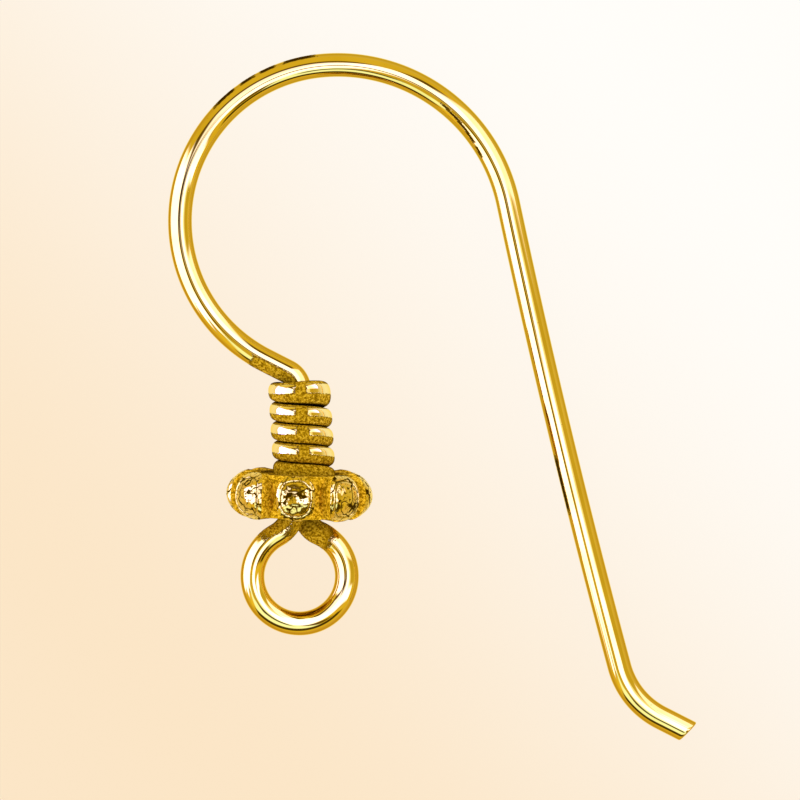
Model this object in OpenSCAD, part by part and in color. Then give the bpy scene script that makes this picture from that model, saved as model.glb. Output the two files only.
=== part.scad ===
// Ear wire with a wound coil, a granule bead and an eye for a drop.
// It lies on its side: +Y runs from the eye to the arch and +Z is up.

/* [Wire] */
// Diameter of the wire
wire_d = 0.8; // [0.6:0.05:0.9]
// Bend where the wire turns out of the coil, at the wire's middle
neck_r = 0.7; // [0.65:0.05:1.2]
// Straight stretch between that bend and the arch
neck_len = 0.85; // [0.5:0.05:2]
// Turn of that bend from upright, in degrees
neck_turn = 63; // [50:1:70]
// How far the coil and the shank lean from upright, in degrees
shank_lean = 3.5; // [0:0.5:6]

/* [Arch and leg] */
// Radius of the arch on the side of the coil
arch_r = 5.2; // [4:0.1:7]
// Part of a circle that this side of the arch takes, in degrees
arch_turn = 147; // [130:1:155]
// Radius of the arch on the side of the leg
shoulder_r = 5.8; // [4.5:0.1:8]
// Part of a circle that this side takes, in degrees
shoulder_turn = 84; // [75:1:92]
// Length of the leg that goes through the ear
leg_len = 15.9; // [12:0.1:20]
// How much the leg bows along its length, in degrees
leg_bow = 3; // [0.5:0.5:6]
// Radius of the bend above the tip
tip_r = 2.7; // [1.5:0.1:4]
// Turn of that bend, in degrees
tip_turn = 48; // [30:1:60]
// Straight end of the tip
tip_len = 1.15; // [0.8:0.05:3]
// Rounding of the cut edge at the tip
tip_edge = 0.06; // [0.02:0.01:0.12]

/* [Eye] */
// Radius of the eye, at the wire's middle
eye_r = 1.57; // [1.3:0.01:2.4]
// How much of a circle the eye makes, in degrees
eye_turn = 307; // [295:1:312]
// Bend of each end of the eye towards the bead
eye_neck_r = 0.72; // [0.66:0.02:1.1]
// Turn of the end that runs up the shank, in degrees
eye_neck_turn = 72; // [60:1:80]
// Turn of the cut end, in degrees
tail_turn = 40; // [30:1:60]
// Radius of that turn
tail_r = 1.2; // [1:0.1:2]
// Straight end of the cut end, which the bead hides
tail_len = 0.1; // [0.05:0.05:0.3]
// Gap where the two ends of the eye cross
strand_gap = 0.04; // [0.02:0.01:0.1]

/* [Coil] */
// Diameter of the coil's wire
coil_wire_d = 0.62; // [0.4:0.01:0.65]
// Gap between the coil and the shank
coil_gap = 0.02; // [0.01:0.01:0.05]
// Gap from one turn to the next
turn_gap = 0.03; // [0.02:0.01:0.12]
// Number of turns
coil_turns = 4.6; // [3:0.1:6]
// How far the first turn stays up under the neck
first_turn_rise = 0.15; // [0.1:0.01:0.2]
// How much taller the first turn is, where it is pressed flat
first_turn_swell = 0.2; // [0:0.01:0.2]

/* [Bead] */
// Diameter over the granules
bead_d = 4.88; // [4.4:0.02:6]
// Height of the bead's body
bead_h = 1.44; // [1.3:0.02:2]
// Number of granules
granule_count = 8; // [6:1:8]
// Width of a granule
granule_w = 1.3; // [1:0.05:1.4]
// Height of a granule
granule_h = 1.5; // [1.4:0.05:2]
// How far the sides of a granule's face fall back from its middle
side_dome = 0.12; // [0.05:0.01:0.3]
// How far the top and bottom of that face fall back
dome = 0.42; // [0.1:0.01:0.45]
// Diameter of the body between the granules
core_d = 3.6; // [3.2:0.1:4]
// Diameter of the hole
bead_hole_d = 1.5; // [1.4:0.05:1.7]
// Diameter and depth of the wide mouth over the eye
mouth_d = 2; // [1.9:0.05:2.3]
mouth_depth = 0.35; // [0.2:0.05:0.4]
// Depth of the seat that holds the last turn of the coil
seat_depth = 0.56; // [0.45:0.01:0.6]
// Gap between the coil and the bottom of its seat
seat_gap = 0.03; // [0.02:0.01:0.06]
// Shift of the bead to the side, as it hangs loose on the shank
bead_shift = -0.21; // [-0.22:0.01:0]
// Tilt of the bead to the side, in degrees
bead_tilt = 1.7; // [0:0.1:2]
// Tilt of the bead's top towards the front, in degrees
bead_nod = 3.4; // [0:0.1:4]
// Turn of the bead round the shank, in degrees
bead_turn = -2.5; // [-10:0.5:10]

/* [Hidden] */
gold = [0.86, 0.66, 0.2];
dull_gold = [0.72, 0.53, 0.14];
wire_sides = 16;
coil_sides = 10;
steps_per_turn = 30;
step_angle = 6;
step_len = 1.6;
coil_edge = 0.04;
wire_r = wire_d / 2;
coil_r = wire_r + coil_gap + coil_wire_d / 2;
coil_d = 2 * coil_r + coil_wire_d;
coil_pitch = coil_wire_d + turn_gap;
strand_lift = (wire_d + strand_gap) / 2;
shank_way = [sin(shank_lean), -cos(shank_lean), 0];
shank_side = [cos(shank_lean), sin(shank_lean), 0];
// Depths along the shank, from the end of the neck bend
coil_start_drop = 0.02;
coil_end_drop = coil_start_drop + coil_turns * coil_pitch + coil_wire_d / 2;
bead_top_drop = coil_end_drop + seat_gap - seat_depth;
bead_mid_drop = bead_top_drop + bead_h / 2;
// The shank goes on below the bead's middle before it bends towards the eye
shank_len = bead_mid_drop + 0.07;
// Slight bend of the shank in the bead's hole, and the share of the way out
// of the hook's plane that it takes there
shank_bend_r = 3.2;
shank_bend_turn = 9;
shank_bend_share = 0.7;
bead_middle = bead_mid_drop * shank_way + bead_shift * shank_side;
seat_d = coil_d + 2 * (abs(bead_shift) + 1.7 * seat_gap);
// The body between the granules: its rounded edge, its slight bulge and half
// its height
web_edge = 0.08;
web_bulge = 0.03;
web_half = bead_h / 2 - 0.05;

function unit(v) = v / norm(v);
function radians(angle) = angle * PI / 180;

// One bend or straight of the wire: its length, its turn in degrees to the
// left, and how far it has come out of the hook's plane at its end
function bend(r, turn, lift = 0) = [r * radians(abs(turn)), turn, lift];
function straight(len, lift = 0) = [len, 0, lift];

// Point that is reached after a share of a bend or straight
function reached(from, heading, part, share) =
    let (turned = share * part[1],
         chord = turned == 0
             ? share * part[0]
             : 2 * part[0] / radians(part[1]) * sin(turned / 2))
    [from[0] + chord * cos(heading + turned / 2),
     from[1] + chord * sin(heading + turned / 2),
     from[2] + (part[2] - from[2]) * (1 - cos(180 * share)) / 2];

// All points along a chain of bends and straights
function walk(parts, from, heading, i = 0) =
    i == len(parts) ? [] :
    let (part = parts[i],
         n = max(2, ceil(abs(part[1]) / step_angle), ceil(part[0] / step_len)),
         points = [for (k = [1:n]) reached(from, heading, part, k / n)])
    concat(points, walk(parts, points[n - 1], heading + part[1], i + 1));

function backwards(list) = [for (i = [len(list) - 1:-1:0]) list[i]];

// Wire from the neck over the arch to the tip
upper_parts = [
    bend(neck_r, neck_turn - shank_lean),
    straight(neck_len),
    bend(arch_r, -arch_turn),
    bend(shoulder_r, -shoulder_turn),
    [leg_len, leg_bow, 0],
    bend(tip_r, tip_turn),
    straight(tip_len)
];

// Wire down the coil and the bead, round the eye and back under the bead
lower_parts = [
    straight(shank_len, 0),
    bend(shank_bend_r, -shank_bend_turn, -strand_lift * shank_bend_share),
    bend(eye_neck_r, eye_neck_turn, -strand_lift),
    bend(eye_r, -eye_turn, strand_lift),
    bend(tail_r, tail_turn, strand_lift),
    straight(tail_len, strand_lift)
];
upper = walk(upper_parts, [0, 0, 0], 90 + shank_lean);
lower = walk(lower_parts, [0, 0, 0], shank_lean - 90);
wire_route = concat(backwards(lower), [[0, 0, 0]], upper);

// Route of the coil: a left-handed helix round the shank
coil_start_angle = 190;
function first_turn_share(turns) = turns < 1 ? pow(sin(180 * turns), 2) : 0;
function coil_point(turns) =
    let (rise = first_turn_rise * first_turn_share(turns),
         angle = coil_start_angle - 360 * turns)
    (coil_start_drop + turns * coil_pitch - rise) * shank_way
        + coil_r * (cos(angle) * shank_side + sin(angle) * [0, 0, 1]);
coil_steps = round(coil_turns * steps_per_turn);
coil_places = [for (i = [0:coil_steps]) i * coil_turns / coil_steps];
coil_route = [for (turns = coil_places) coil_point(turns)];
// Height of the coil's wire along the shank, as a share of its diameter
coil_heights = [for (turns = coil_places)
    1 + first_turn_swell / coil_wire_d * first_turn_share(turns)];

// Direction that a route takes at one of its points
function way(route, i) = unit(route[min(i + 1, len(route) - 1)] - route[max(i - 1, 0)]);

// Ring of points square to a direction; none of them turns about it if the
// reference stays well away from that direction. The height stretches it
// towards the reference.
function ring(centre, dir, ref, r, sides, height = 1) =
    let (side = unit(cross(dir, ref)), rise = height * cross(side, dir))
    [for (k = [0:sides - 1])
        centre + r * (cos(360 * k / sides) * side + sin(360 * k / sides) * rise)];

// Points of a round wire along a route, with both cut edges a little rounded
// and, if given, a height at each point of the route
function tube_points(route, ref, r, edge, sides, heights) =
    let (last = len(route) - 1, first_way = way(route, 0), last_way = way(route, last))
    [each ring(route[0], first_way, ref, r - edge, sides),
     each ring(route[0] + edge * first_way, first_way, ref, r, sides),
     for (i = [1:last - 1])
         each ring(route[i], way(route, i), ref, r, sides, heights == undef ? 1 : heights[i]),
     each ring(route[last] - edge * last_way, last_way, ref, r, sides),
     each ring(route[last], last_way, ref, r - edge, sides)];

module tube(points, sides) {
    rows = len(points) / sides;
    walls = [for (i = [0:rows - 2], k = [0:sides - 1])
        let (a = i * sides + k, b = i * sides + (k + 1) % sides)
        each [[a, b, b + sides], [a, b + sides, a + sides]]];
    first_end = [for (k = [sides - 1:-1:0]) k];
    last_end = [for (k = [0:sides - 1]) (rows - 1) * sides + k];
    polyhedron(points, concat([first_end], walls, [last_end]), convexity = 10);
}

wire_points = tube_points(wire_route, [0, 0, 1], wire_r, tip_edge, wire_sides);
coil_points = tube_points(coil_route, shank_way, coil_wire_d / 2, coil_edge, coil_sides,
    coil_heights);

// How it lies: on the lowest granule, the side of the arch and the tip.
// Every part is drawn with the hook's plane level and is then tilted so.
tip_end = wire_route[len(wire_route) - 1];
hull_edge = min([for (p = upper) if (p[1] > tip_end[1] + leg_len / 2)
    atan2(p[1] - tip_end[1], p[0] - tip_end[0])]);
edge_way = [cos(hull_edge), sin(hull_edge), 0];
to_bead = bead_middle - tip_end;
bead_reach = abs(cross(edge_way, to_bead)[2]);
rest_depth = bead_d / 2 * cos(bead_nod);
lie_tilt = acos(wire_r / norm([rest_depth, bead_reach])) - atan2(bead_reach, rest_depth);

function tilted(p) =
    let (c = cos(lie_tilt), s = sin(lie_tilt))
    p * c + cross(edge_way, p) * s + edge_way * (edge_way * p) * (1 - c);
lying = [for (p = wire_points) tilted(p)];
lie_x = (max([for (p = lying) p[0]]) + min([for (p = lying) p[0]])) / 2;
lie_y = (max([for (p = lying) p[1]]) + min([for (p = lying) p[1]])) / 2;
lie_z = tilted(tip_end)[2] - wire_r;

module lay() {
    translate([-lie_x, -lie_y, -lie_z]) rotate(a = lie_tilt, v = edge_way) children();
}

module ear_hook() {
    color(gold) lay() tube(wire_points, wire_sides);
}

module coil_wrap() {
    color(dull_gold) lay() tube(coil_points, coil_sides);
}

// Half the height of a granule at a distance from its middle, for a face
// that is straight at its sides and round at top and bottom
function half_height(off) =
    (granule_h - granule_w) / 2 + sqrt(max(0, pow(granule_w / 2, 2) - off * off));
function face_r(off, z) =
    bead_d / 2 - side_dome * pow(2 * off / granule_w, 4)
        - dome * pow(min(1, abs(2 * z / granule_h)), 2.4);

// Section of the bead at an angle round its hole, as distances from the axis
// and heights: hole, seat and mouth first, then the outside from the top down
function bead_section(off, half) = [
    [mouth_d / 2, -bead_h / 2],
    [mouth_d / 2, mouth_depth - bead_h / 2],
    [bead_hole_d / 2, mouth_depth - bead_h / 2],
    [bead_hole_d / 2, bead_h / 2 - seat_depth],
    [seat_d / 2, bead_h / 2 - seat_depth],
    [seat_d / 2, bead_h / 2],
    [core_d / 2 - web_edge, bead_h / 2],
    [core_d / 2, half],
    for (share = [1, 0.85, 0.55, 0, -0.55, -0.85, -1])
        [off == undef ? core_d / 2 + web_bulge : face_r(off, share * half), share * half],
    [core_d / 2, -half],
    [core_d / 2 - web_edge, -bead_h / 2]
];

// Columns of one granule: the web beside it, its face from side to side and
// the web on the other side
face_shares = [-1, -0.92, -0.7, -0.38, 0, 0.38, 0.7, 0.92, 1];
face_edge = asin(granule_w / bead_d);
web_step = 1.5;
granule_columns = [
    [-180 / granule_count, bead_section(undef, web_half)],
    [-face_edge - web_step, bead_section(undef, web_half)],
    for (share = face_shares)
        let (off = share * granule_w / 2)
        [asin(2 * off / bead_d), bead_section(off, half_height(off))],
    [face_edge + web_step, bead_section(undef, web_half)]
];
bead_points = [for (g = [0:granule_count - 1], column = granule_columns, p = column[1])
    let (angle = bead_turn + g * 360 / granule_count + column[0])
    [p[0] * sin(angle), p[1], p[0] * cos(angle)]];

module granule_bead() {
    rows = len(granule_columns[0][1]);
    columns = len(bead_points) / rows;
    walls = [for (c = [0:columns - 1], k = [0:rows - 1])
        let (a = c * rows + k, b = c * rows + (k + 1) % rows,
             across = ((c + 1) % columns) * rows)
        each [[a, across + k, b], [b, across + k, across + (k + 1) % rows]]];
    color(dull_gold) lay() translate(bead_middle) rotate([bead_nod, 0, -bead_tilt])
        polyhedron(bead_points, walls, convexity = 10);
}

ear_hook();
coil_wrap();
granule_bead();
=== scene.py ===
"""Gold ear wire with a wound coil and a granule bead, lying on a pale floor."""

import bpy
import numpy as np
from mathutils import Matrix


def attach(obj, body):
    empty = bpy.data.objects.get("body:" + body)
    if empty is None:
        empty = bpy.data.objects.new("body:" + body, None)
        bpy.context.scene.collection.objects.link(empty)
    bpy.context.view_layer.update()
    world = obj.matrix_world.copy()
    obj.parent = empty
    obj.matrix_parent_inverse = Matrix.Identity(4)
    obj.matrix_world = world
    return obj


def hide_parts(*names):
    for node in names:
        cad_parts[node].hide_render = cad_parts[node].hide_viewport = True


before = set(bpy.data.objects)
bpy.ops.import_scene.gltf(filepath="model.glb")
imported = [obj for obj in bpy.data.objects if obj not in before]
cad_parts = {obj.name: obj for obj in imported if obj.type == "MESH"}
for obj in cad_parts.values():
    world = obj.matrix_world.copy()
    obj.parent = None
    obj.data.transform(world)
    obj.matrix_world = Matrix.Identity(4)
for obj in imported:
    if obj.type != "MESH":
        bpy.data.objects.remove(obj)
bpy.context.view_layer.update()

bl_info = {
    "name": "Gold ear wire",
    "version": (1, 0, 0),
    "blender": (4, 5, 0),
    "location": "View3D > Sidebar > Ear wire",
    "description": "Makes a gold ear wire with a coil, a granule bead and an eye",
    "category": "Add Mesh",
}

MM = 0.001


def length(name, default, description):
    """A size in millimetres."""
    return bpy.props.FloatProperty(
        name=name, default=default, description=description, min=0.0, precision=3
    )


def angle(name, default, description):
    """An angle in degrees."""
    return bpy.props.FloatProperty(name=name, default=default, description=description, precision=1)


def count(name, default, description):
    """A number of pieces."""
    return bpy.props.IntProperty(name=name, default=default, description=description, min=1)


def hex_colour(name, default, description):
    """A colour as sRGB hex digits."""
    return bpy.props.StringProperty(name=name, default=default, description=description, maxlen=6)


class WireSizes(bpy.types.PropertyGroup):
    """The hook's wire, from the tip to the eye's cut end"""

    wire_d: length("Wire", 0.8, "Diameter of the wire")
    neck_r: length("Neck bend", 0.7, "Bend where the wire turns out of the coil")
    neck_len: length("Neck", 0.85, "Straight stretch between that bend and the arch")
    neck_turn: angle("Neck turn", 63.0, "Turn of that bend from upright")
    shank_lean: angle("Lean", 3.5, "How far the coil and the shank lean")
    arch_r: length("Arch", 5.2, "Radius of the arch on the side of the coil")
    arch_turn: angle("Arch turn", 147.0, "Part of a circle that this side takes")
    shoulder_r: length("Shoulder", 5.8, "Radius of the arch on the side of the leg")
    shoulder_turn: angle("Shoulder turn", 84.0, "Part of a circle that this side takes")
    leg_len: length("Leg", 15.9, "Length of the leg")
    leg_bow: angle("Leg bow", 3.0, "How much the leg bows along its length")
    tip_r: length("Tip bend", 2.7, "Radius of the bend above the tip")
    tip_turn: angle("Tip turn", 48.0, "Turn of that bend")
    tip_len: length("Tip", 1.15, "Straight end of the tip")
    tip_edge: length("Tip edge", 0.06, "Rounding of the cut edge")
    tip_slant: angle("Tip slant", 17.0, "Slant of the tip's cut")
    eye_r: length("Eye", 1.57, "Radius of the eye, at the wire's middle")
    eye_turn: angle("Eye turn", 307.0, "How much of a circle the eye makes")
    eye_neck_r: length("Eye neck", 0.72, "Bend of the eye's end that runs up the shank")
    eye_neck_turn: angle("Eye neck turn", 72.0, "Turn of that bend")
    tail_turn: angle("Tail turn", 40.0, "Turn of the cut end")
    tail_r: length("Tail bend", 1.2, "Radius of that turn")
    tail_len: length("Tail", 0.1, "Straight end of the cut end")
    strand_gap: length("Strand gap", 0.04, "Gap where the two ends of the eye cross")


class CoilSizes(bpy.types.PropertyGroup):
    """The thinner wire wound on the shank"""

    wire_d: length("Coil wire", 0.62, "Diameter of the coil's wire")
    gap: length("Coil gap", 0.02, "Gap between the coil and the shank")
    turn_gap: length("Turn gap", 0.03, "Gap from one turn to the next")
    turns: bpy.props.FloatProperty(name="Turns", default=4.6, description="Number of turns")
    first_rise: length("First turn's rise", 0.15, "How far the first turn stays up under the neck")
    first_swell: length("First turn's swell", 0.2, "How much taller the first turn is, pressed flat")


class BeadSizes(bpy.types.PropertyGroup):
    """The bead under the coil, with its granules"""

    bead_d: length("Bead", 4.88, "Diameter over the granules")
    bead_h: length("Body height", 1.44, "Height of the bead's body")
    granules: count("Granules", 8, "Number of granules")
    granule_w: length("Granule width", 1.3, "Width of a granule")
    granule_h: length("Granule height", 1.5, "Height of a granule")
    side_dome: length("Side dome", 0.12, "How far the sides of a granule's face fall back")
    dome: length("Dome", 0.42, "How far the top and bottom of that face fall back")
    core_d: length("Core", 3.6, "Diameter of the body between the granules")
    hole_d: length("Hole", 1.5, "Diameter of the hole")
    mouth_d: length("Mouth", 2.0, "Diameter of the wide mouth over the eye")
    mouth_depth: length("Mouth depth", 0.35, "Depth of that mouth")
    seat_depth: length("Seat depth", 0.56, "Depth of the seat for the coil's last turn")
    seat_gap: length("Seat gap", 0.03, "Gap under the coil in its seat")
    shift: bpy.props.FloatProperty(name="Shift", default=-0.21, description="Shift to the side, in mm")
    tilt: angle("Tilt", 1.7, "Tilt of the bead to the side")
    nod: angle("Nod", 3.4, "Tilt of the bead's top towards the front")
    turn: angle("Turn", -2.5, "Turn of the bead round the shank")


class Colours(bpy.types.PropertyGroup):
    """The gold's and the floor's main tones"""

    polished: hex_colour("Polished gold", "DCB236", "Burnished gold plate")
    # The dull gold is also laid as painted shade, where a piece turns from the light
    dull: hex_colour("Dull gold", "BC9418", "Matte gold in the recesses")
    # The oxide tone lies in the deepest grooves, and is also the colour of painted shade, painted shade
    # lines and a painted dark border
    oxide_and_shade: hex_colour("Oxide", "3A2600", "Dark oxide in the deepest grooves")
    floor_warm: hex_colour("Floor, warm side", "FBE5C7", "Peach side of the sheet")
    floor_pale: hex_colour("Floor, pale side", "FFFDFA", "Pale side of the sheet")


class EarWireSettings(bpy.types.PropertyGroup):
    """All sizes and colours, kept on the scene"""

    wire: bpy.props.PointerProperty(type=WireSizes)
    coil: bpy.props.PointerProperty(type=CoilSizes)
    bead: bpy.props.PointerProperty(type=BeadSizes)
    colours: bpy.props.PointerProperty(type=Colours)


# Routes

# A route has a point at least every so many degrees and mm
STEP_ANGLE = 6.0
STEP_LEN = 1.6
# The coil starts this far below the place where the wire comes out of it, at
# this angle round the shank, and has so many points to a turn
COIL_START_DROP = 0.02
COIL_START_ANGLE = 190.0
COIL_POINTS = 72
# The shank goes on this far below the bead's middle, bends slightly in the
# bead's hole, and takes this share of the way out of the hook's plane there
SHANK_REACH = 0.07
SHANK_BEND = (3.2, -9.0)
SHANK_BEND_SHARE = 0.7

# Dark lines painted as shade on the hook's wire, on the arch's outer edge,
# the shoulder's inner side and the leg's edge. Each is: heading of the wire
# from and to in degrees, place across the wire at each end and half width
# as shares of the radius, lowest and highest place in mm, and how much of
# the wavering line shows
SHADE_LINES = (
    (50, 4, 0.86, 0.86, 0.16, 3.0, 99.0, 0.95),
    (-36, -62, -0.3, -0.75, 0.12, 3.0, 99.0, 1.3),
    (-78, -74, -0.86, -0.86, 0.13, -4.2, -2.3, 1.2),
)
# The middle of the painted shadow on the neck's underside, and the
# distances from it in mm over which the polish comes back
NECK_SPOT, NECK_SHADE = (-0.75, 0.55, 0.0), (0.75, 1.15)
# The same distances from the bead's mouth, for the ends of the eye
MOUTH_DULL = (0.6, 1.4)
# Degrees above the middle of a turn between which the coil's polish starts,
# is full, starts to fade and ends, which leaves the lower side of each turn
# dull as painted shade; degrees from the front over which it comes back
# after a painted break in the highlight; and degrees above or below over
# which the grooves turn dark
COIL_BAND, COIL_FRONT, COIL_GROOVE = (-14, 2, 42, 56), (9, 14), (58, 80)

# The photo's width, its scale, and the pixel where the wire comes out of the
# coil
WIDTH_PX, PX_PER_MM, NECK_PX = 800.0, 30.0, (299.3, 389.0)
# The camera's sensor in mm. It stands 0.3 m off, so that it foreshortens as
# little as the photo does, and sees from 10 mm on
SENSOR_MM, LENS_DISTANCE, NEAREST = 36.0, 0.3, 0.01
# Half the floor in m, its own light, and how far its two tones fade into each
# other, in half widths of the picture
FLOOR_HALF, FLOOR_GLOW, SHEET_FADE = 0.3, 0.985, 1.5

# The studio's warm walls. The tent has its radius, the degrees by which its
# pole is off the camera, to the right and up, its grid of columns and rows,
# the degrees that it reaches down from its pole, and its patches' soft edge
STUDIO_TONE, STUDIO_LIGHT = "FFF4A0", 1.05
TENT_MM, TENT_POLE, TENT_GRID, TENT_REACH, PATCH_FADE = 60.0, (-16, 6), (240, 90), 90.0, 2.4


def unit(v):
    """Vectors brought to a length of 1."""
    v = np.asarray(v, float)
    return v / np.linalg.norm(v, axis=-1, keepdims=True)


def walk(parts, start, heading, finer=1):
    """Points along a chain of bends and straights, each (length, turn, lift).

    After a share f of a part of length L that turns by T, the chord is
    2 (L / T) sin(f T / 2) in the direction heading + f T / 2, and the height
    out of the hook's plane has eased from the last lift to this one by
    (1 - cos(pi f)) / 2.
    """
    here, rows = np.array(start, float), []
    for size, turn, lift in parts:
        steps = int(max(2, np.ceil(abs(turn) / STEP_ANGLE), np.ceil(size / STEP_LEN))) * finer
        share = np.arange(1, steps + 1) / steps
        half = np.radians(share * turn / 2)
        chord = share * size if turn == 0 else 2 * size / np.radians(turn) * np.sin(half)
        way = np.radians(heading) + half
        ease = (1 - np.cos(np.pi * share)) / 2
        height = here[2] + (lift - here[2]) * ease
        points = np.stack([here[0] + chord * np.cos(way), here[1] + chord * np.sin(way), height], 1)
        rows.append(points)
        here, heading = points[-1], heading + turn
    return np.concatenate(rows)


def bend(r, turn, lift=0.0):
    """A part of a route that turns by an angle at a radius."""
    return (r * np.radians(abs(turn)), turn, lift)


class Layout:
    """Places that follow from the sizes, in mm, with the hook's plane level.

    The origin is where the wire comes out of the coil; x runs to the leg, y
    to the arch and z to the viewer. place() lays it down as it rests.
    """

    def __init__(self, settings):
        w, c, b = settings.wire, settings.coil, settings.bead
        self.w, self.c, self.b = w, c, b
        lean = np.radians(w.shank_lean)
        self.down = np.array([np.sin(lean), -np.cos(lean), 0.0])
        self.side = np.array([np.cos(lean), np.sin(lean), 0.0])
        self.front = np.array([0.0, 0.0, 1.0])
        self.coil_r = w.wire_d / 2 + c.gap + c.wire_d / 2
        self.coil_d = 2 * self.coil_r + c.wire_d
        self.pitch = c.wire_d + c.turn_gap
        self.coil_end = COIL_START_DROP + c.turns * self.pitch + c.wire_d / 2
        self.bead_top = self.coil_end + b.seat_gap - b.seat_depth
        self.bead_middle = (self.bead_top + b.bead_h / 2) * self.down + b.shift * self.side
        self.seat_d = self.coil_d + 2 * (abs(b.shift) + 1.7 * b.seat_gap)
        self.strand_lift = (w.wire_d + w.strand_gap) / 2
        self._lay()

    def upper(self, finer=1):
        """The route up the neck, over the arch and down the leg to the tip."""
        w = self.w
        parts = [
            bend(w.neck_r, w.neck_turn - w.shank_lean),
            (w.neck_len, 0, 0),
            bend(w.arch_r, -w.arch_turn),
            bend(w.shoulder_r, -w.shoulder_turn),
            (w.leg_len, w.leg_bow, 0),
            bend(w.tip_r, w.tip_turn),
            (w.tip_len, 0, 0),
        ]
        return walk(parts, (0, 0, 0), 90 + w.shank_lean, finer)

    def lower(self, finer=1):
        """The route down the shank and round the eye to its cut end."""
        w, lift = self.w, self.strand_lift
        parts = [
            (self.bead_top + self.b.bead_h / 2 + SHANK_REACH, 0, 0),
            bend(*SHANK_BEND, -lift * SHANK_BEND_SHARE),
            bend(w.eye_neck_r, w.eye_neck_turn, -lift),
            bend(w.eye_r, -w.eye_turn, lift),
            bend(w.tail_r, w.tail_turn, lift),
            (w.tail_len, 0, lift),
        ]
        return walk(parts, (0, 0, 0), w.shank_lean - 90, finer)

    def coil(self, steps):
        """Left-handed helix: depth grows with the turns, and the first turn
        stays up under the neck by rise * sin(pi t) ** 2. The second result is
        the height of the wire's section along the shank, as a share."""
        t = np.linspace(0, self.c.turns, steps)
        first = np.where(t < 1, np.sin(np.pi * t) ** 2, 0)
        a = np.radians(COIL_START_ANGLE - 360 * t)
        depth = COIL_START_DROP + t * self.pitch - self.c.first_rise * first
        out = np.outer(np.cos(a), self.side) + np.outer(np.sin(a), self.front)
        swell = 1 + self.c.first_swell / self.c.wire_d * first
        return depth[:, None] * self.down + self.coil_r * out, swell

    def _lay(self):
        """It rests on the lowest granule, the side of the arch and the tip."""
        w, b = self.w, self.b
        r = w.wire_d / 2
        upper = self.upper()
        tip = upper[-1]
        high = upper[upper[:, 1] > tip[1] + w.leg_len / 2]
        edge = np.min(np.arctan2(high[:, 1] - tip[1], high[:, 0] - tip[0]))
        self.axis = np.array([np.cos(edge), np.sin(edge), 0.0])
        reach = abs(np.cross(self.axis, self.bead_middle - tip)[2])
        depth = b.bead_d / 2 * np.cos(np.radians(b.nod))
        self.lie = np.arccos(r / np.hypot(depth, reach)) - np.arctan2(reach, depth)
        coarse = np.concatenate([self.lower()[::-1], np.zeros((1, 3)), upper])
        rim = tube_rows(coarse, self.front, np.full(len(coarse), r), 16)
        rim = self.turn(rim.reshape(-1, 3))
        self.shift = np.array(
            [
                (rim[:, 0].max() + rim[:, 0].min()) / 2,
                (rim[:, 1].max() + rim[:, 1].min()) / 2,
                self.turn(tip)[2] - r,
            ]
        )

    def turn(self, p):
        """Turns points about the resting axis (Rodrigues' formula)."""
        p = np.asarray(p, float)
        cos, sin = np.cos(self.lie), np.sin(self.lie)
        along = (p @ self.axis)[..., None] * self.axis
        return p * cos + np.cross(self.axis, p) * sin + along * (1 - cos)

    def place(self, p):
        """Lays points down on the floor, in metres."""
        return (self.turn(p) - self.shift) * MM


# Surfaces


def blunt(wave, power):
    """A wave whose crests are flattened by a power below 1."""
    return np.sign(wave) * np.abs(wave) ** power


def tube_rows(route, reference, radii, sides, heights=None, power=1.0):
    """Rings round a route: centre + r (cos a side + sin a height rise), where
    side is square to the route and to a reference direction. A power below 1
    makes the ring squarer."""
    way = unit(np.gradient(route, axis=0))
    side = unit(np.cross(way, reference))
    rise = np.cross(side, way) * (1 if heights is None else heights[:, None])
    a = np.arange(sides) * 2 * np.pi / sides
    across, along = blunt(np.cos(a), power), blunt(np.sin(a), power)
    ring = across[None, :, None] * side[:, None] + along[None, :, None] * rise[:, None]
    return route[:, None] + radii[:, None, None] * ring


def grid_faces(rows, columns, wrap_rows=False):
    """Quads of a grid whose columns wrap round, and whose rows may too."""
    last = rows if wrap_rows else rows - 1
    i, k = np.meshgrid(np.arange(last), np.arange(columns), indexing="ij")
    j, m = (i + 1) % rows, (k + 1) % columns
    return np.stack([i * columns + k, i * columns + m, j * columns + m, j * columns + k], -1).reshape(-1, 4)


def pole_faces(first, columns, pole, flip):
    """Triangles from one ring of points to a point in its middle."""
    k = np.arange(columns)
    m = (k + 1) % columns
    a, b = (m, k) if flip else (k, m)
    return np.stack([first + a, first + b, np.full(columns, pole)], -1)


def mesh_object(name, points, quads, tris=None, attributes=None):
    """A smooth-shaded mesh from whole arrays of points and faces."""
    tris = np.zeros((0, 3), int) if tris is None else tris
    mesh = bpy.data.meshes.new(name)
    mesh.vertices.add(len(points))
    mesh.vertices.foreach_set("co", np.asarray(points, np.float32).ravel())
    loops = np.concatenate([quads.ravel(), tris.ravel()])
    mesh.loops.add(len(loops))
    mesh.loops.foreach_set("vertex_index", loops.astype(np.int32))
    starts = np.concatenate([np.arange(len(quads)) * 4, 4 * len(quads) + np.arange(len(tris)) * 3])
    mesh.polygons.add(len(starts))
    mesh.polygons.foreach_set("loop_start", starts.astype(np.int32))
    mesh.update(calc_edges=True)
    mesh.validate()
    mesh.shade_smooth()
    for key, values in (attributes or {}).items():
        layer = mesh.attributes.new(key, "FLOAT", "POINT")
        layer.data.foreach_set("value", np.asarray(values, np.float32))
    obj = bpy.data.objects.new(name, mesh)
    bpy.context.scene.collection.objects.link(obj)
    return obj


def smooth_step(x, low, high):
    """Goes from 0 at low to 1 at high, as t * t * (3 - 2 * t)."""
    t = np.clip((x - low) / (high - low), 0, 1)
    return t * t * (3 - 2 * t)


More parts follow.
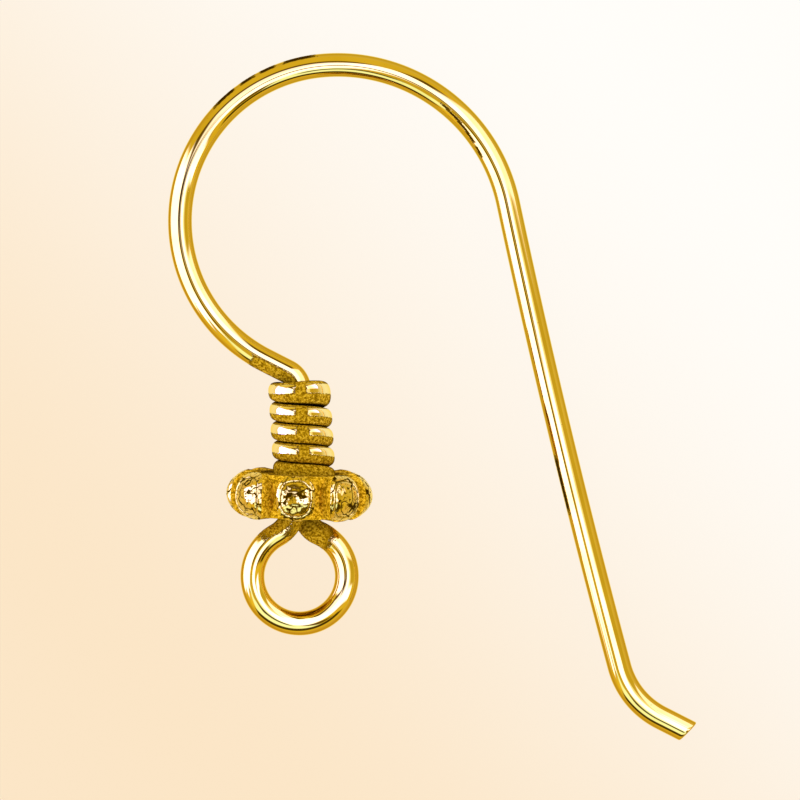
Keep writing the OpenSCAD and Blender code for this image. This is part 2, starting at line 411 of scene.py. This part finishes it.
def rounded_ends(route, r, edge, heights):
    """The route with extra points for rounded cut edges, and the radii: the
    edge is a quarter of a circle of the given size."""
    a = np.radians([90, 60, 30, 0])
    first, last = unit(route[1] - route[0]), unit(route[-1] - route[-2])
    into = edge * (1 - np.sin(a))
    small = r - edge + edge * np.cos(a)
    head = route[0] + into[:, None] * first
    tail = (route[-1] - into[:, None] * last)[::-1]
    start = np.argmax(np.linalg.norm(route - route[0], axis=1) > edge * 1.5)
    stop = len(route) - np.argmax(np.linalg.norm(route - route[-1], axis=1)[::-1] > edge * 1.5)
    rows = np.concatenate([head, route[start:stop], tail])
    radii = np.concatenate([small, np.full(stop - start, r), small[::-1]])
    heights = np.concatenate([np.full(4, heights[0]), heights[start:stop], np.full(4, heights[-1])])
    return rows, radii, heights


def wire_piece(
    name, layout, route, reference, r, edge, sides, attributes, heights=None, power=1.0, slant=0.0
):
    """A round wire along a route, closed by two faces that meet in a point.

    The last end is cut at a slant: a point that is q across the wire, square
    to the reference, moves back by (r - q) tan(slant), less so further back.
    """
    heights = np.ones(len(route)) if heights is None else heights
    route, radii, heights = rounded_ends(route, r, edge, heights)
    rows = tube_rows(route, reference, radii, sides, heights, power)
    n = len(rows)
    last = unit(route[-1] - route[-2])
    back = np.linalg.norm(route - route[-1], axis=1)
    across = (rows - route[:, None]) @ np.cross(reference, last)
    near = np.clip(1 - back, 0, 1)[:, None]
    move = np.tan(np.radians(slant)) * near * (across - r * (slant > 0))
    rows = rows + move[..., None] * last
    points = np.concatenate([rows.reshape(-1, 3), rows[:1].mean(1), rows[-1:].mean(1)])
    quads = grid_faces(n, sides)
    start = pole_faces(0, sides, n * sides, True)
    end = pole_faces((n - 1) * sides, sides, n * sides + 1, False)
    tris = np.concatenate([start, end])
    values = attributes(points, np.concatenate([np.repeat(np.arange(n), sides), [0, n - 1]]), route)
    return mesh_object(name, layout.place(points), quads, tris, values)


# Materials


def to_linear(digits):
    """Linear RGBA from sRGB hex digits."""
    srgb = np.array([int(digits[i : i + 2], 16) for i in (0, 2, 4)]) / 255
    linear = np.where(srgb <= 0.04045, srgb / 12.92, ((srgb + 0.055) / 1.055) ** 2.4)
    return (*linear.tolist(), 1.0)


def add_node(tree, kind, settings=None, **inputs):
    """Adds a node, sets its properties, and fills or links its inputs by name
    or by index, written i0, i1 and so on."""
    node = tree.nodes.new(kind)
    for key, value in (settings or {}).items():
        setattr(node, key, value)
    for key, value in inputs.items():
        by_index = key[0] == "i" and key[1:].isdigit()
        socket = node.inputs[int(key[1:]) if by_index else key.replace("_", " ")]
        if isinstance(value, bpy.types.NodeSocket):
            tree.links.new(value, socket)
        else:
            socket.default_value = value
    return node


def new_material(name):
    """A material with an empty tree of nodes, and that tree."""
    material = bpy.data.materials.new(name)
    material.use_nodes = True
    material.node_tree.nodes.clear()
    return material, material.node_tree


def maths(tree, operation, *values, clamp=False):
    """The result of a maths node."""
    inputs = {f"i{k}": value for k, value in enumerate(values)}
    settings = {"operation": operation, "use_clamp": clamp}
    return add_node(tree, "ShaderNodeMath", settings, **inputs).outputs[0]


def ranged(tree, value, low=0.0, high=1.0, to_low=0.0, to_high=1.0, kind="SMOOTHSTEP"):
    """Takes a value from one range to another and holds it there."""
    node = add_node(
        tree,
        "ShaderNodeMapRange",
        {"interpolation_type": kind},
        Value=value,
        From_Min=low,
        From_Max=high,
        To_Min=to_low,
        To_Max=to_high,
    )
    return node.outputs["Result"]


def mixed(tree, share, under, over, blend="MIX"):
    """Lays one colour over another by a share."""
    settings = {"data_type": "RGBA", "blend_type": blend}
    return add_node(tree, "ShaderNodeMix", settings, Factor=share, A=under, B=over).outputs["Result"]


def ramp(tree, value, tones):
    """A colour that runs through tones, each (value, sRGB hex digits)."""
    node = add_node(tree, "ShaderNodeValToRGB", None, Fac=value)
    elements = node.color_ramp.elements
    for k, (position, digits) in enumerate((tones[0], tones[-1])):
        elements[k].position, elements[k].color = position, to_linear(digits)
    for position, digits in tones[1:-1]:
        elements.new(position).color = to_linear(digits)
    return node.outputs["Color"]


def noise(tree, place, size_mm, detail, roughness=0.5):
    """Noise whose lumps have a real size."""
    scale = 1 / (size_mm * MM)
    node = add_node(
        tree, "ShaderNodeTexNoise", None, Vector=place, Scale=scale, Detail=detail, Roughness=roughness
    )
    return node.outputs["Fac"]


# Tones of the gold plate: the dark and light ends of the dull plate's
# speckle, the bright plate in its dents, its painted shade where it turns
# away, and its painted reflection seen edge on
SPECKLE_DARK, SPECKLE_LIGHT = "80600A", "F0C850"
DENT_TONE, ASIDE_SHADE_TONE, EDGE_REFLECTION_TONE = "D2A82C", "C29626", "FFF0A8"
# How far the grain moves the polish's edge, and the polish over which the
# dull plate turns bright
RAGGED, POLISH_EDGE = 1.8, (0.32, 0.68)
# Where the outline of painted shade starts and is full, as a share of
# turning away, and how dark it gets; the strength of the painted dark
# border round the polish
OUTLINE_RANGE, OUTLINE_COVER, DARK_BORDER = (0.6, 0.95), 0.8, 3.6
# The grain's values over which a pit turns black, and the distance from the
# middle of the dents' noise over which a crack fades
PIT_RANGE, CRACK_RANGE = (0.55, 0.6), (0.01, 0.032)
# Roughness of the dull and the bright plate, and the share of bright plate
# from which it mirrors
DULL_ROUGH, BRIGHT_ROUGH, MIRROR_FROM = 0.6, 0.03, 0.6


def gold_plate(
    colours,
    name,
    grain_mm,
    bump_mm,
    dent_mm=1.4,
    dents=0.5,
    rim=(0.6, 0.85),
    lift=1.0,
    deepen=1.0,
    pits=0.0,
    cracks=0.0,
):
    """Gold plate over sterling silver, tumbled bright on what stands out and
    left dull in the recesses, where oxide and blasting grit keep it brown.
    The dull plate and the oxide tone also serve as painted shade.

    The piece's attribute "polish" is 1 where the plate is burnished. Its
    second attribute is 1 in the deepest grooves, where oxide lies, and where
    shade and dark lines are painted. The grain speckles the dull plate, and
    the dents, this many times as high, wave the bright one. Rim is the range
    of the share 1 - cos of the viewing angle over which the bright plate
    turns light, as a painted reflection, and lift brightens the dull plate,
    as painted light. Deepen, pits and cracks go from 0 to 1: how far the
    bright plate darkens where it turns away, as painted shade, and how
    dark its pits and its cracks are.
    """
    material, tree = new_material(name)
    coords = add_node(tree, "ShaderNodeTexCoord")
    mapping = add_node(
        tree, "ShaderNodeMapping", {"vector_type": "POINT"}, Vector=coords.outputs["Object"]
    )
    place = mapping.outputs[0]
    polish = add_node(tree, "ShaderNodeAttribute", {"attribute_name": "polish"}).outputs["Fac"]
    oxide_and_shade_share = add_node(tree, "ShaderNodeAttribute", {"attribute_name": "oxide_and_shade_share"}).outputs["Fac"]
    grain = noise(tree, place, grain_mm, 3.0, 0.7)
    dent = noise(tree, place, dent_mm, 2.0)
    oxide_and_shade = to_linear(colours.oxide_and_shade)
    # The polish breaks up at its edge, where the tumbling reached unevenly
    uneven = maths(tree, "MULTIPLY_ADD", grain, RAGGED, -RAGGED / 2)
    bright = ranged(tree, maths(tree, "ADD", polish, uneven), *POLISH_EDGE)
    # Dull gold: speckled from brown to ochre
    speckle = ramp(tree, grain, ((0.4, SPECKLE_DARK), (0.5, colours.dull), (0.62, SPECKLE_LIGHT)))
    lifted = mixed(tree, 1.0, speckle, (lift, lift, lift, 1.0), "MULTIPLY")
    # Where a dull surface turns away, the oxide tone is painted on as a dark
    # outline of painted shade
    aside = add_node(tree, "ShaderNodeLayerWeight", None, Blend=0.5).outputs["Facing"]
    outline = ranged(tree, aside, *OUTLINE_RANGE, to_high=OUTLINE_COVER)
    dull = mixed(tree, maths(tree, "MAXIMUM", oxide_and_shade_share, outline), lifted, oxide_and_shade)
    burnished = ramp(tree, dent, ((0.3, DENT_TONE), (0.7, colours.polished)))
    # Black pits, where blasting grit has stuck in the burnished faces
    pit = ranged(tree, grain, *PIT_RANGE, to_high=pits)
    # Cracks wind through those faces, where the dents' noise passes its middle
    apart = maths(tree, "ABSOLUTE", maths(tree, "SUBTRACT", dent, 0.5))
    crack = ranged(tree, apart, *CRACK_RANGE, to_low=cracks, to_high=0.0)
    marks = maths(tree, "MAXIMUM", pit, crack)
    colour = mixed(tree, bright, dull, mixed(tree, marks, burnished, oxide_and_shade))
    # A thin dark line of the oxide tone is painted along the polish's edge, a
    # painted dark border round the bright plate: for a share b of bright plate
    # its strength is that constant times b (1 - b)
    line = maths(tree, "MULTIPLY", maths(tree, "SUBTRACT", 1.0, bright), bright)
    colour = mixed(tree, maths(tree, "MULTIPLY", line, DARK_BORDER, clamp=True), colour, oxide_and_shade)
    # Neither the pits nor the cracks mirror anything or turn light
    clean = maths(tree, "SUBTRACT", bright, marks)
    # Turned away, the plate is painted deeper, as painted shade, and seen edge
    # on it is painted a light yellow, as a painted reflection of the light table
    turned = ranged(tree, aside, 0.35 * rim[0], 0.9 * rim[0], to_high=deepen)
    edge_on = ranged(tree, aside, *rim)
    for factor, tone in ((turned, ASIDE_SHADE_TONE), (edge_on, EDGE_REFLECTION_TONE)):
        colour = mixed(tree, maths(tree, "MULTIPLY", factor, clean), colour, to_linear(tone))
    rough = ranged(tree, bright, to_low=DULL_ROUGH, to_high=BRIGHT_ROUGH, kind="LINEAR")
    metal = ranged(tree, clean, MIRROR_FROM, kind="LINEAR")
    # Grit in the dull plate, and faint drawing lines and dents in the bright
    grit = maths(tree, "MULTIPLY", grain, ranged(tree, bright, to_low=1.0, to_high=0.0, kind="LINEAR"))
    surface = maths(tree, "MULTIPLY_ADD", dent, dents, grit)
    bump = add_node(tree, "ShaderNodeBump", None, Height=surface, Strength=1.0, Distance=bump_mm * MM)
    shader = add_node(
        tree,
        "ShaderNodeBsdfPrincipled",
        None,
        Base_Color=colour,
        Metallic=metal,
        Roughness=rough,
        Normal=bump.outputs[0],
        Specular_IOR_Level=0.0,
        Specular_Tint=(1.0, 0.88, 0.4, 1.0),
    )
    output = add_node(tree, "ShaderNodeOutputMaterial")
    tree.links.new(shader.outputs[0], output.inputs[0])
    return material


def tent_cloth():
    """White cloth lit from outside; the attribute "light" holds its radiance."""
    material, tree = new_material("diffusion cloth, lit in patches")
    light = add_node(tree, "ShaderNodeAttribute", {"attribute_name": "light"})
    emission = add_node(tree, "ShaderNodeEmission", None, Color=light.outputs["Vector"], Strength=1.0)
    output = add_node(tree, "ShaderNodeOutputMaterial")
    tree.links.new(emission.outputs[0], output.inputs[0])
    return material


def paper(colours, centre):
    """A light table under a sheet that fades from peach at the lower left to
    near white at the upper right. Most of its light comes from below, so that
    nothing casts a shadow that shows."""
    half_picture = WIDTH_PX / 2 / PX_PER_MM * MM
    material, tree = new_material("light table, opal sheet")
    coords = add_node(tree, "ShaderNodeTexCoord")
    split = add_node(tree, "ShaderNodeSeparateXYZ", None, Vector=coords.outputs["Object"])
    both = maths(tree, "ADD", split.outputs[0], split.outputs[1])
    middle, fade = centre[0] + centre[1], SHEET_FADE * half_picture
    spread = ranged(tree, both, middle - fade, middle + fade)
    tone = mixed(tree, spread, to_linear(colours.floor_warm), to_linear(colours.floor_pale))
    shader = add_node(
        tree,
        "ShaderNodeBsdfPrincipled",
        None,
        Base_Color=(0.02, 0.019, 0.018, 1.0),
        Roughness=0.9,
        Specular_IOR_Level=0.0,
        Emission_Color=tone,
        Emission_Strength=FLOOR_GLOW,
    )
    output = add_node(tree, "ShaderNodeOutputMaterial")
    tree.links.new(shader.outputs[0], output.inputs[0])
    return material


def finish_piece(obj, material, node):
    """Gives a piece its material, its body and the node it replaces."""
    obj.data.materials.append(material)
    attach(obj, "root")
    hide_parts(node)


def settings_of(context):
    """The sizes and colours of this scene."""
    return context.scene.ear_wire


# Operators


class EARWIRE_OT_hook(bpy.types.Operator):
    """Makes the wire: tip, leg, arch, neck, shank and eye"""

    bl_idname = "ear_wire.hook"
    bl_label = "Hook wire"

    def execute(self, context):
        s = settings_of(context)
        layout = Layout(s)
        w = s.wire
        route = np.concatenate([layout.lower(4)[::-1], np.zeros((1, 3)), layout.upper(4)])
        bead_bottom = layout.bead_middle + layout.down * s.bead.bead_h / 2

        def finish(points, rows, path):
            """Polish falls off under the bead, on the neck's underside, where it is
            painted shadow, along the painted shade lines, and inside the coil and
            the bead, where it is painted shade."""
            to_bead = np.linalg.norm(points - bead_bottom, axis=1)
            off = points - path[rows]
            off = off / np.maximum(np.linalg.norm(off, axis=1, keepdims=True), 1e-9)
            # The strand behind is dull for longer, and so is the upper side
            # of the one in front
            behind = smooth_step(points[:, 0], -0.1, 0.4)
            above = smooth_step(off[:, 1] - 0.5 * off[:, 0], -0.1, 0.3) * (1 - behind)
            eye = path[path @ layout.down > bead_bottom @ layout.down + 0.9].mean(0)
            inner = -np.sum(off * unit(path[rows] - eye), axis=1)
            clear = smooth_step(to_bead - behind * (0.25 + 0.5 * inner) - 0.6 * above, *MOUTH_DULL)
            neck = np.linalg.norm(path[rows] - np.array(NECK_SPOT), axis=1)
            under = smooth_step(-off[:, 1] * 0.8 - off[:, 0] * 0.5, -0.15, 0.25)
            shade = under * (1 - smooth_step(neck, *NECK_SHADE))
            # The painted shade lines lie on the side to the viewer, and waver in and out
            way = unit(np.gradient(path, axis=0))[rows]
            outward = off[:, 1] * way[:, 0] - off[:, 0] * way[:, 1]
            heading = np.degrees(np.arctan2(way[:, 1], way[:, 0]))
            waver = np.sin(heading * 0.62 + 1.3 * np.sin(heading * 0.21)) + 0.3 * np.sin(path[rows, 1] * 9)
            shade_line = np.zeros(len(points))
            for first, last, at_first, at_last, half, low, high, cover in SHADE_LINES:
                along = (heading - first) / (last - first)
                across = at_first + (at_last - at_first) * np.clip(along, 0, 1)
                inside = smooth_step(along, 0, 0.12) * (1 - smooth_step(along, 0.88, 1))
                inside = inside * (1 - smooth_step(np.abs(outward - across), half * 0.6, half))
                inside = inside * (off[:, 2] > 0) * (path[rows, 1] > low) * (path[rows, 1] < high)
                shade_line = np.maximum(shade_line, inside * smooth_step(waver, -cover, 0.5 - cover))
            # Inside the coil and the bead the wire is painted dull and dark, as painted shade
            depth, top = points @ layout.down, layout.bead_top
            hidden = smooth_step(depth, 0.05, 0.2) * (1 - smooth_step(depth, top + 0.8, top + 1))
            hidden = hidden * (np.abs(points @ layout.side) < 0.6)
            polish = np.clip(clear - shade - shade_line - hidden, 0, 1)
            # Right under the bead the wire is half darkened, as painted shade
            under_bead = 0.5 * (1 - smooth_step(to_bead, 0.4, 0.8))
            oxide_and_shade_share = np.maximum(np.maximum(under_bead, shade_line), hidden)
            return {"polish": polish, "oxide_and_shade_share": oxide_and_shade_share}

        obj = wire_piece(
            "ear_hook_wire",
            layout,
            route,
            layout.front,
            w.wire_d / 2,
            w.tip_edge,
            64,
            finish,
            slant=w.tip_slant,
        )
        material = gold_plate(s.colours, "gold plate, drawn wire", 0.08, 0.006)
        finish_piece(obj, material, "ear_hook")
        return {"FINISHED"}


class EARWIRE_OT_coil(bpy.types.Operator):
    """Winds the coil on the shank"""

    bl_idname = "ear_wire.coil"
    bl_label = "Coil"

    def execute(self, context):
        s = settings_of(context)
        layout = Layout(s)
        route, heights = layout.coil(int(s.coil.turns * COIL_POINTS))

        def finish(points, rows, path):
            """Bright on the outside of each turn, a little above its middle;
            dull below, as painted shade on the side turned from the light, and
            dull in the grooves and near the bead."""
            off = (points - path[rows]) / (s.coil.wire_d / 2)
            depth = path[rows] @ layout.down
            hub = path[rows] - depth[:, None] * layout.down
            out = unit(hub)
            level = np.degrees(np.arctan2(-(off @ layout.down), np.sum(off * out, axis=1)))
            start, full, fading, end = COIL_BAND
            bright = smooth_step(level, start, full) * (1 - smooth_step(level, fading, end))
            # Each turn is painted matte at the very front, a painted break in its
            # highlight
            round_ = np.degrees(np.arctan2(points @ layout.side, points @ layout.front))
            bright = bright * (0.1 + 0.9 * smooth_step(np.abs(round_ - 3), *COIL_FRONT))
            far = 1 - smooth_step(depth, layout.bead_top - 0.42, layout.bead_top - 0.12)
            oxide_and_shade_share = smooth_step(np.abs(level), *COIL_GROOVE)
            return {"polish": bright * far, "oxide_and_shade_share": oxide_and_shade_share}

        r, edge, sides, power = s.coil.wire_d / 2, 0.04, 40, 0.78
        obj = wire_piece(
            "wound_coil", layout, route, layout.down, r, edge, sides, finish, heights, power
        )
        material = gold_plate(
            s.colours, "gold plate, wound wire", 0.08, 0.01, rim=(0.08, 0.5), deepen=0.0
        )
        finish_piece(obj, material, "coil_wrap")
        return {"FINISHED"}


class EARWIRE_OT_bead(bpy.types.Operator):
    """Makes the bead's body and the granules on its edge"""

    bl_idname = "ear_wire.bead"
    bl_label = "Granule bead"

    def execute(self, context):
        s = settings_of(context)
        layout = Layout(s)
        b = s.bead
        body = self.body(layout, b)
        # The body's dull plate, and the granules' below, is brightened by lift, as painted light against
        # the shade the bead lies in
        material = gold_plate(s.colours, "gold plate, blasted", 0.09, 0.03, lift=1.5)
        finish_piece(body, material, "granule_bead")
        granules = self.granules(layout, b)
        material = gold_plate(
            s.colours,
            "gold plate, burnished granules",
            0.09,
            0.02,
            dent_mm=0.6,
            dents=6.0,
            rim=(0.27, 0.84),
            lift=1.45,
            deepen=0.0,
            pits=0.9,
            cracks=1.0,
        )
        finish_piece(granules, material, "granule_bead")
        return {"FINISHED"}

    def stand(self, layout, b, points):
        """From the bead's own frame, y up its hole and z to the front, to the
        place where it lies."""
        nod = Matrix.Rotation(np.radians(b.nod), 3, "X")
        tilt = Matrix.Rotation(-np.radians(b.tilt), 3, "Z")
        turned = np.asarray(points) @ np.array(tilt @ nod).T
        return layout.place(turned + layout.bead_middle)

    def body(self, layout, b):
        """A profile of distances and heights turned round the hole:
        (r sin a, h, r cos a)."""
        half = b.bead_h / 2
        core, edge = b.core_d / 2, 0.12
        a = np.radians([0, 30, 60, 90])
        profile = [
            (b.mouth_d / 2, -half),
            (b.mouth_d / 2, b.mouth_depth - half),
            (b.hole_d / 2, b.mouth_depth - half),
            (b.hole_d / 2, half - b.seat_depth),
            (layout.seat_d / 2, half - b.seat_depth),
            (layout.seat_d / 2, half),
            *[(core - edge + edge * np.sin(t), half - edge + edge * np.cos(t)) for t in a],
            *[(core - edge + edge * np.cos(t), -half + edge - edge * np.sin(t)) for t in a],
        ]
        profile = np.array(profile)
        columns = 160
        a = np.arange(columns) * 2 * np.pi / columns
        r, h = profile[:, 0][:, None], profile[:, 1][:, None]
        points = np.stack([r * np.sin(a), h + 0 * a, r * np.cos(a)], -1).reshape(-1, 3)
        quads = grid_faces(len(profile), columns, wrap_rows=True)
        oxide_and_shade_share = np.repeat(np.where(profile[:, 0] < layout.seat_d / 2 + 0.01, 0.8, 0.0), columns)
        values = {"polish": np.zeros(len(points)), "oxide_and_shade_share": oxide_and_shade_share}
        return mesh_object("bead_body", self.stand(layout, b, points), quads, None, values)

    def granules(self, layout, b):
        """Each granule is a round-cornered peg with a burnished face. Its
        outline is x = w |cos t| ** p, y = h |sin t| ** p. Outwards, the face
        falls back as a parabola to a shallow groove, and at its sides over a
        rounded lip. Towards its top and bottom it also falls back as an
        ellipse: end (1 - sqrt(1 - 0.97 y ** 2)), with y from 0 to 1."""
        around, p, groove_at, groove_deep = 72, 0.78, 0.76, 0.025
        t = np.arange(around) * 2 * np.pi / around
        x, y = blunt(np.cos(t), p) * b.granule_w / 2, blunt(np.sin(t), p) * b.granule_h / 2
        # Rings at these shares of the outline, closer together at the lip, and
        # three more that lead down into the body
        share = np.concatenate([np.linspace(0.06, 0.7, 14), np.linspace(0.72, 1.0, 18)])
        width = np.concatenate([share, [0.99, 0.97, 0.95]])[:, None]
        to_end = (y / b.granule_h) ** 2 / ((x / b.granule_w) ** 2 + (y / b.granule_h) ** 2)
        inner = np.minimum(width / 0.74, 1)
        groove = groove_deep * np.exp(-(((width - groove_at) / 0.04) ** 2))
        angles = np.radians(b.turn + np.arange(b.granules) * 360 / b.granules)
        rows = len(width)
        pegs = []
        for a in angles:
            # Those at the sides are taller and rounder
            to_side = np.sin(a) ** 2
            end = b.dome * (0.8 + 1.1 * to_side)
            tall = 1 + 0.06 * smooth_step(to_side, 0.2, 0.6)
            lip = smooth_step(width, 0.8, 1.08) * b.side_dome * (1 - to_end) * 1.2
            round_end = end * (1 - np.sqrt(1 - 0.97 * (2 * width * y / b.granule_h) ** 2))
            out = b.bead_d / 2 - lip - round_end - 0.07 * inner**2 - groove
            out[len(share) :] -= np.array([0.06, 0.3, 0.6])[:, None]
            out[-1] = b.bead_d / 2 - 2 * b.dome - 0.3
            one = np.stack([width * x, tall * width * y, out], -1).reshape(-1, 3)
            one = np.concatenate([one, [[0, 0, b.bead_d / 2]], [[0, 0, out[-1, 0]]]])
            px, py, pz = one.T
            cos, sin = np.cos(a), np.sin(a)
            pegs.append(np.stack([px * cos + pz * sin, py, pz * cos - px * sin], -1))
        # The groove keeps a broken line of oxide
        oxide_and_shade = 0.6 * np.exp(-(((width[:, 0] - groove_at) / 0.03) ** 2))
        face = np.where(np.arange(rows) < len(share) - 1, 1 - oxide_and_shade, 0.0)
        polish = np.concatenate([np.repeat(face, around), [1, 0]])
        foot = np.where(np.arange(rows) > len(share), 0.25, 0.0)
        oxide_and_shade_share = np.concatenate([np.repeat(foot, around), [0, 0]])
        quads = grid_faces(rows, around)
        front = pole_faces(0, around, rows * around, True)
        back = pole_faces((rows - 1) * around, around, rows * around + 1, False)
        tris = np.concatenate([front, back])
        base = np.arange(b.granules)[:, None, None] * len(one)
        return mesh_object(
            "bead_granules",
            self.stand(layout, b, np.concatenate(pegs)),
            (quads + base).reshape(-1, 4),
            (tris + base).reshape(-1, 3),
            {"polish": np.tile(polish, b.granules), "oxide_and_shade_share": np.tile(oxide_and_shade_share, b.granules)},
        )


class EARWIRE_OT_stage(bpy.types.Operator):
    """Adds the floor, the cloth tent and the camera"""

    bl_idname = "ear_wire.stage"
    bl_label = "Floor, tent and camera"

    def execute(self, context):
        s = settings_of(context)
        layout = Layout(s)
        scene = context.scene
        right, up, out = (layout.turn(v) for v in np.eye(3))
        # The picture's middle, counted from where the wire leaves the coil
        half = WIDTH_PX / 2
        middle = np.array([(half - NECK_PX[0]) / PX_PER_MM, (NECK_PX[1] - half) / PX_PER_MM, 0.0])
        target = layout.place(middle)
        self.floor(s, target - out * target[2] / out[2])
        field = WIDTH_PX / PX_PER_MM * MM
        data = bpy.data.cameras.new("camera")
        data.sensor_width = SENSOR_MM
        data.lens = SENSOR_MM * LENS_DISTANCE / field
        data.clip_start = NEAREST
        camera = bpy.data.objects.new("camera", data)
        scene.collection.objects.link(camera)
        camera.matrix_world = facing(target + out * LENS_DISTANCE, right, up, out)
        scene.camera = camera
        self.tent(target, right, up, out)
        self.world(scene)
        scene.view_settings.view_transform = "Standard"
        return {"FINISHED"}

    def floor(self, s, centre):
        """A flat sheet, far larger than the picture."""
        half = FLOOR_HALF
        points = np.array([[-half, -half, 0], [half, -half, 0], [half, half, 0], [-half, half, 0]])
        obj = mesh_object("floor", points, np.array([[0, 1, 2, 3]]))
        obj.data.materials.append(paper(s.colours, centre))

    def tent(self, target, right, up, out):
        """A dome of cloth round the lens, which only the metal reflects.

        Its light falls in patches, painted one over the other. A patch is a
        wedge between two angles round the pole, counted from the right, and
        two angles off the pole; or a box between two angles across and two
        angles up. Its edges fade over a few degrees.
        """
        day, cool, warm, even = (1.0, 1.2, 9.5), (0.5, 0.75, 3.2), (1.0, 0.8, 0.4), (1.0, 0.92, 0.4)
        cream, pale = (1.0, 1.15, 4.0), (1.0, 1.12, 7.0)
        patches = [
            # Dim round the pole
            ("wedge", 0, 360, 0, 62, 0.2, warm),
            # Daylight from the left
            ("wedge", 143, 208, 0, 80, 3.2, day),
            ("wedge", 190, 222, 0, 62, 3.2, day),
            ("wedge", 218, 240, 0, 38, 3.2, day),
            # Daylight from the right, with dimmer cloth further out
            ("wedge", -22, 46, 0, 74, 3.2, day),
            ("wedge", -66, 60, 0, 42, 3.2, day),
            ("wedge", -8, 16, 40, 90, 1.5, cream),
            ("wedge", 16, 48, 48, 90, 2.2, pale),
            ("wedge", -8, 16, 53, 90, 0.85, even),
            # Above
            ("wedge", 60, 150, 40, 84, 1.0, even),
            ("wedge", 60, 122, 0, 28, 2.0, day),
            # Below
            ("wedge", 224, 240, 42, 74, 1.2, even),
            ("wedge", 236, 308, 30, 66, 3.0, cool),
            ("wedge", -36, -24, 40, 74, 1.1, even),
            ("wedge", 232, 326, 66, 86, 0.1, warm),
            # Dim cloth round the lens and under it
            ("box", -12, 10, -36, 0, 0.9, even),
            ("box", -9, 9, -1, 7, 0.1, warm),
            ("box", 9, 17, -6, 2, 0.1, warm),
            ("box", -8, 0, -16, 0, 0.1, warm),
            ("box", -4, 22, -44, -34, 0.1, warm),
        ]
        # The pole is a little to the left of the camera and above it
        to_right, to_up = np.tan(np.radians(TENT_POLE))
        pole = unit(out + to_right * right + to_up * up)
        across = unit(np.cross(up, pole))
        rise = np.cross(pole, across)
        (columns, rows), reach = TENT_GRID, TENT_REACH
        round_, off = np.meshgrid(np.arange(columns) * 360 / columns, np.linspace(0.5, reach, rows))
        u, v = off * np.cos(np.radians(round_)), off * np.sin(np.radians(round_))
        light = np.ones((rows, columns, 3)) * np.array(to_linear(STUDIO_TONE)[:3]) * STUDIO_LIGHT
        for kind, a0, a1, b0, b1, strength, colour in patches:
            if kind == "wedge":
                # Degrees to each side of the wedge, along the circle it lies on
                middle, half = (a0 + a1) / 2, (a1 - a0) / 2
                aside = np.abs((round_ - middle + 180) % 360 - 180)
                inside = (half - aside) * np.sin(np.radians(off)) if half < 180 else off + reach
                inside = np.minimum(inside, np.minimum(b1 - off, off - b0 + (0 if b0 else reach)))
            else:
                inside = np.minimum(np.minimum(u - a0, a1 - u), np.minimum(v - b0, b1 - v))
            share = smooth_step(inside, -PATCH_FADE, PATCH_FADE)[..., None]
            light = light * (1 - share) + share * strength * np.array(colour)
        round_, off = np.radians(round_)[..., None], np.radians(off)[..., None]
        sideways = np.cos(round_) * across + np.sin(round_) * rise
        points = target + TENT_MM * MM * (np.cos(off) * pole + np.sin(off) * sideways)
        obj = mesh_object("tent", points.reshape(-1, 3), grid_faces(rows, columns))
        layer = obj.data.attributes.new("light", "FLOAT_VECTOR", "POINT")
        layer.data.foreach_set("vector", light.astype(np.float32).ravel())
        obj.data.materials.append(tent_cloth())
        obj.visible_camera = obj.visible_diffuse = obj.visible_shadow = False
        obj.visible_transmission = obj.visible_volume_scatter = False

    def world(self, scene):
        """The studio's walls beyond the tent."""
        world = bpy.data.worlds.new("studio")
        scene.world = world
        world.use_nodes = True
        background = world.node_tree.nodes["Background"]
        background.inputs["Color"].default_value = to_linear(STUDIO_TONE)
        background.inputs["Strength"].default_value = STUDIO_LIGHT


def facing(place, x, y, z):
    """A matrix with the given axes and place."""
    m = Matrix.Identity(4)
    for i, axis in enumerate((x, y, z)):
        for k in range(3):
            m[k][i] = float(axis[k])
    for k in range(3):
        m[k][3] = float(place[k])
    return m


class EARWIRE_PT_panel(bpy.types.Panel):
    """Shows the sizes, the colours and a button for each operator"""

    bl_idname = "EARWIRE_PT_panel"
    bl_label = "Ear wire"
    bl_space_type = "VIEW_3D"
    bl_region_type = "UI"
    bl_category = "Ear wire"

    def draw(self, context):
        settings = settings_of(context)
        for group in (settings.wire, settings.coil, settings.bead, settings.colours):
            box = self.layout.box()
            for name in group.__annotations__:
                box.prop(group, name)
        for operator in OPERATORS:
            self.layout.operator(operator.bl_idname)


OPERATORS = (EARWIRE_OT_hook, EARWIRE_OT_coil, EARWIRE_OT_bead, EARWIRE_OT_stage)
CLASSES = (WireSizes, CoilSizes, BeadSizes, Colours, EarWireSettings, *OPERATORS, EARWIRE_PT_panel)


def register():
    """Adds the classes, and the settings to the scene."""
    for cls in CLASSES:
        bpy.utils.register_class(cls)
    bpy.types.Scene.ear_wire = bpy.props.PointerProperty(type=EarWireSettings)


def unregister():
    """Takes them out again."""
    del bpy.types.Scene.ear_wire
    for cls in reversed(CLASSES):
        bpy.utils.unregister_class(cls)


def main():
    register()
    bpy.ops.ear_wire.hook()
    bpy.ops.ear_wire.coil()
    bpy.ops.ear_wire.bead()
    bpy.ops.ear_wire.stage()


if __name__ == "__main__":
    main()
